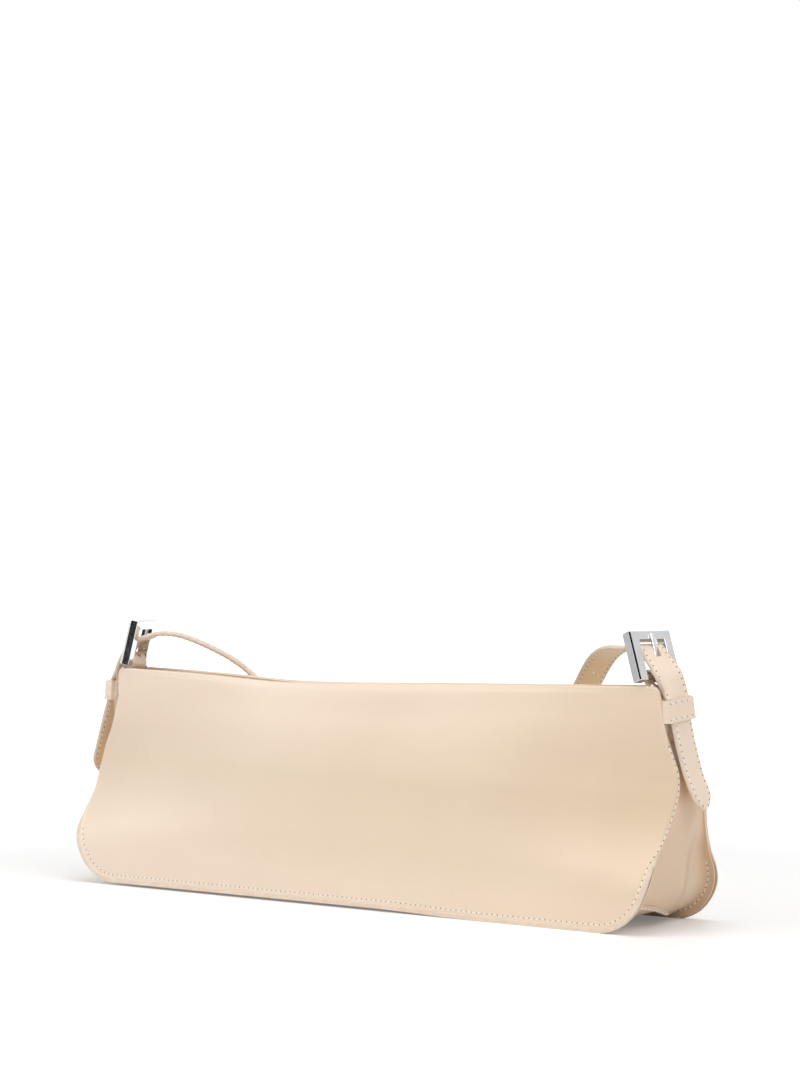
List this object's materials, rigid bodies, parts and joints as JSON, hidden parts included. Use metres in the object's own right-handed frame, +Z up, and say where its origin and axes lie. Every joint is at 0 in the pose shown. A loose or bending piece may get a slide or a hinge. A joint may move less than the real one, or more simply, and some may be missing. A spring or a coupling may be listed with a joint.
{
  "type": "shoulder bag",
  "caption": "Long low leather shoulder bag with bowed panels, end gussets, recessed top zip and a narrow strap threaded through square prong buckles.",
  "frame": {"origin": "on the floor under the middle of the bag's base", "axes": "+X along the bag, -Y out of the front panel, +Z up"},
  "size_m": [0.4329, 0.0935, 0.1538],
  "materials": {
    "leather": "smooth semi-gloss",
    "steel": "polished",
    "cloth": "matt lining cloth",
    "tape": "woven zip tape",
    "board": "stiff board"
  },
  "bodies": {
    "bag": {"front_panel": "leather", "back_panel": "leather", "gusset_left": "leather", "gusset_right": "leather", "base_panel": "leather", "chape_left": "leather", "chape_right": "leather", "keeper_left": "leather", "keeper_right": "leather", "strap_end_left": "leather", "strap_end_right": "leather", "buckle_frame_left": "steel", "buckle_frame_right": "steel", "pivot_bar_left": "steel", "pivot_bar_right": "steel", "zip_chain_front": "steel", "zip_chain_back": "steel", "zip_stop_left": "steel", "zip_stop_right": "steel", "zip_tape_front": "tape", "zip_tape_back": "tape", "lining": "cloth", "slip_pocket": "cloth", "base_padding": "cloth", "base_board": "board"},
    "strap": {"strap_span": "leather"},
    "zip_slider": {"zip_slider": "steel"},
    "zip_puller": {"zip_puller": "steel"},
    "prong_left": {"prong_left": "steel"},
    "prong_right": {"prong_right": "steel"}
  },
  "joints": [
    {"name": "strap_swing", "type": "hinge", "parent": "bag", "child": "strap", "pos_m": [0, 0.0032, 0.1446], "axis": [1, 0, 0], "range_deg": [0, 240]},
    {"name": "zip_slide", "type": "slide", "parent": "bag", "child": "zip_slider", "axis": [1, 0, 0], "range_m": [0, 0.304]},
    {"name": "puller_swing", "type": "hinge", "parent": "zip_slider", "child": "zip_puller", "pos_m": [-0.152, 0, 0.1163], "axis": [0, 1, 0], "range_deg": [0, 165]},
    {"name": "prong_left_play", "type": "hinge", "parent": "bag", "child": "prong_left", "pos_m": [-0.19, 0, 0.1303], "axis": [0.2924, -0.9563, 0], "range_deg": [0, 4]},
    {"name": "prong_right_play", "type": "hinge", "parent": "bag", "child": "prong_right", "pos_m": [0.1834, 0, 0.1303], "axis": [0.2924, 0.9563, 0], "range_deg": [0, 4]}
  ]
}
